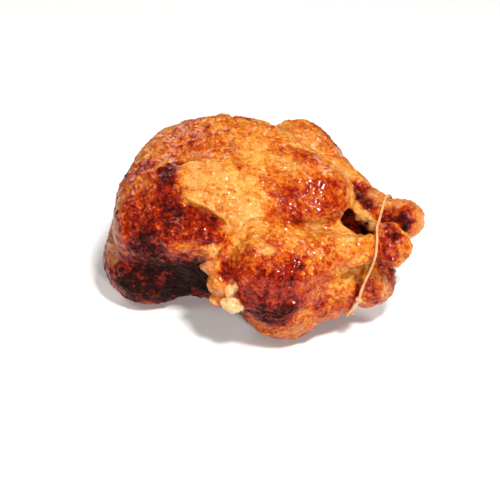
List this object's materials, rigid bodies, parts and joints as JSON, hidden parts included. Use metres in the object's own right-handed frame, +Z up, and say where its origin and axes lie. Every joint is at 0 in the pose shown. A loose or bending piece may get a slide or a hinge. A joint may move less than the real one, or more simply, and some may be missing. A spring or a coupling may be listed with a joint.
{
  "type": "roast chicken",
  "caption": "Small whole roast chicken lying on its back, wings tucked in and drumsticks tied with kitchen string.",
  "frame": {"origin": "on the surface the bird lies on, under the middle of its box", "axes": "+X from the neck end to the tail, +Z up from the surface to the breast, -Y the bird's right side"},
  "size_m": [0.1906, 0.1454, 0.107],
  "materials": {
    "roast_skin": "browned, oily roast skin",
    "string": "twisted cotton stained with fat"
  },
  "bodies": {
    "root": {"chicken": "roast_skin", "leg_string": "string"}
  },
  "joints": []
}
